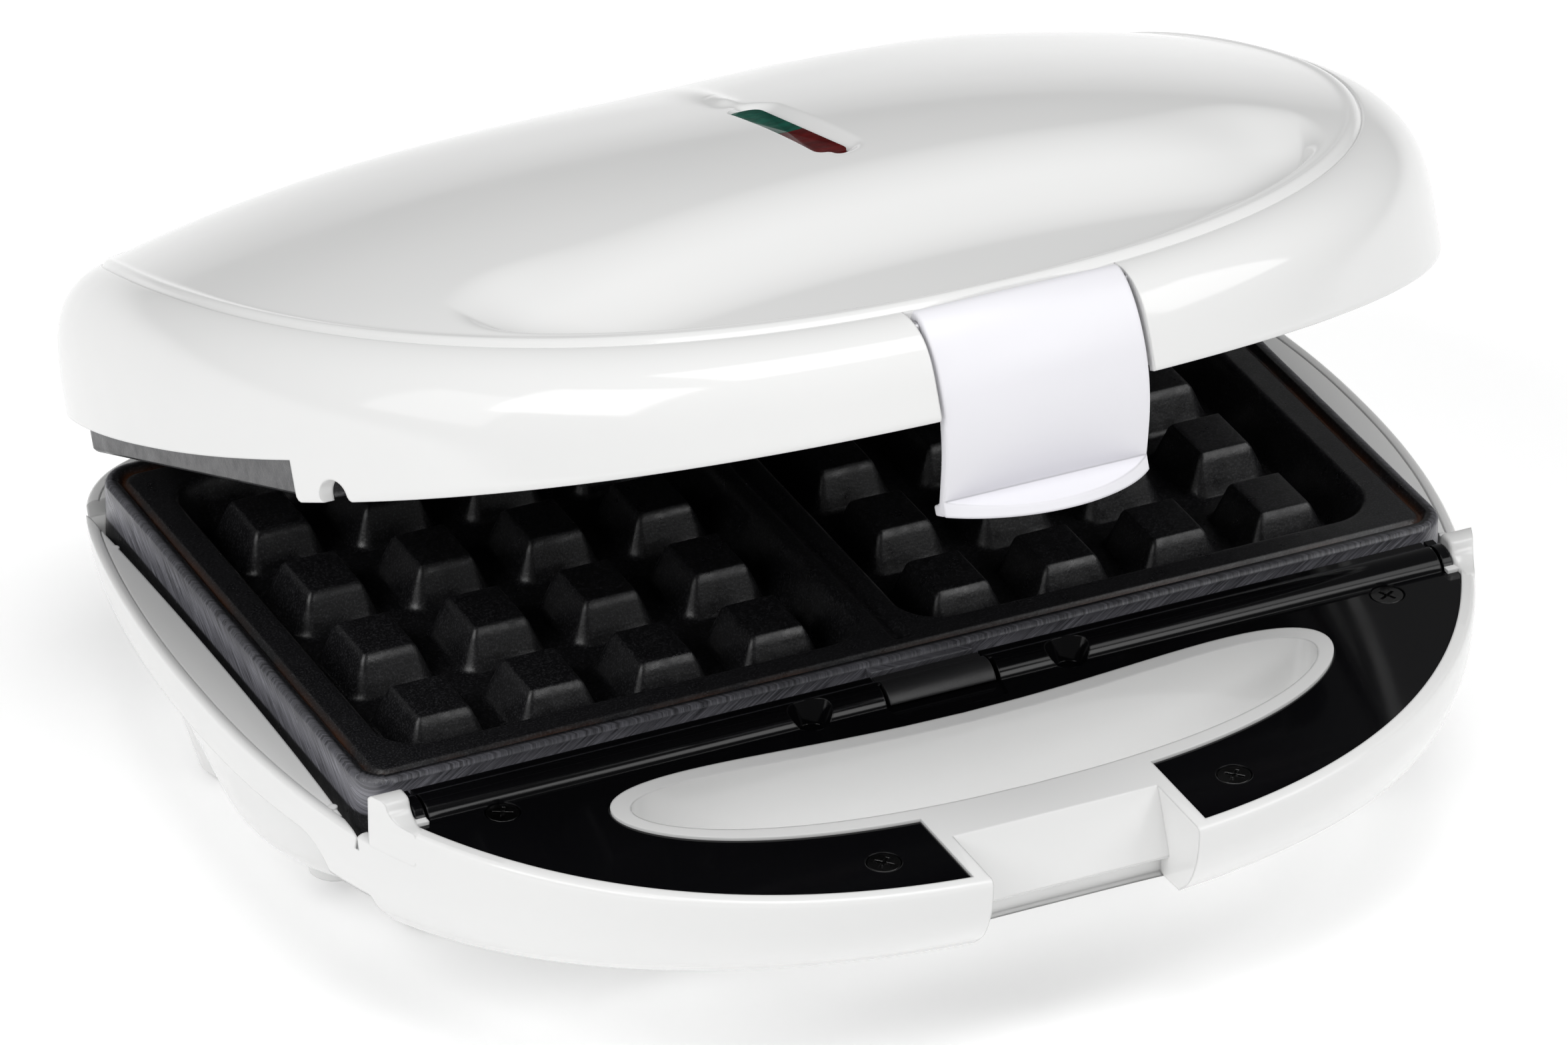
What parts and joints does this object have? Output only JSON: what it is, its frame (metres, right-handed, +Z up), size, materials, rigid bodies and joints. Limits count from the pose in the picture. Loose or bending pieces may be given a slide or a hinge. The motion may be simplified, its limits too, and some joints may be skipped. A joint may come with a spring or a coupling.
{
  "type": "waffle maker",
  "caption": "Two-slice clamshell waffle maker, open, with grid plates, a finger well in the front handle, a rear hinge and a pivoting front latch.",
  "frame": {"origin": "centre of the footprint on the table, under the feet", "axes": "+Z up, -Y towards the handle and latch, X along the hinge"},
  "size_m": [0.2486, 0.2347, 0.1483],
  "materials": {
    "white_gloss": "glossy moulded white",
    "white_satin": "satin moulded white",
    "inner_white": "plain moulded heat-resistant plastic",
    "black_gloss": "glossy moulded black",
    "black_matte": "fine-textured moulded black",
    "nonstick": "die-cast with black non-stick coating",
    "steel": "zinc-plated",
    "black_steel": "blackened",
    "reflector": "mill finish sheet",
    "sheath": "heat-darkened",
    "cream": "heat-resistant moulding",
    "rubber": "matt",
    "green_lens": "transparent green",
    "red_lens": "transparent red",
    "lamp": "clear"
  },
  "bodies": {
    "base": {"base_shell": "white_gloss", "base_pan": "white_gloss", "foot_pads": "rubber", "front_panel": "black_gloss", "panel_screws": "black_steel", "lower_plate": "nonstick", "lower_heater": "sheath", "lower_reflector": "reflector", "lower_tray_screws": "steel", "thermostat": "steel", "terminal_block": "cream", "cord_clamp": "cream", "pan_screws": "steel", "hinge_pins": "steel"},
    "lid": {"lid_shell": "white_gloss", "lid_frame": "inner_white", "lid_front_panel": "black_gloss", "lid_panel_screws": "black_steel", "upper_plate": "nonstick", "upper_heater": "sheath", "upper_reflector": "reflector", "upper_tray_screws": "steel", "thermal_fuse": "cream", "lens_green": "green_lens", "lens_red": "red_lens", "lamp_holder": "inner_white", "neon_lamps": "lamp", "latch_pin": "steel"},
    "latch": {"latch": "white_satin"},
    "catch": {"lower_catch": "black_matte"}
  },
  "joints": [
    {"name": "lid_hinge", "type": "hinge", "parent": "base", "child": "lid", "pos_m": [0, 0.0926, 0.04], "axis": [-1, 0, 0], "range_deg": [-23.3, 76.7]},
    {"name": "latch_pivot", "type": "hinge", "parent": "lid", "child": "latch", "pos_m": [0, -0.08269, 0.14543], "axis": [-1, 0, 0], "range_deg": [0, 20], "stiffness_Nm_per_rad": 0.03, "springref_deg": -17.19},
    {"name": "catch_slide", "type": "slide", "parent": "base", "child": "catch", "axis": [0, -1, 0], "range_m": [0, 0.0022], "stiffness_N_per_m": 600, "springref_m": -0.002}
  ]
}
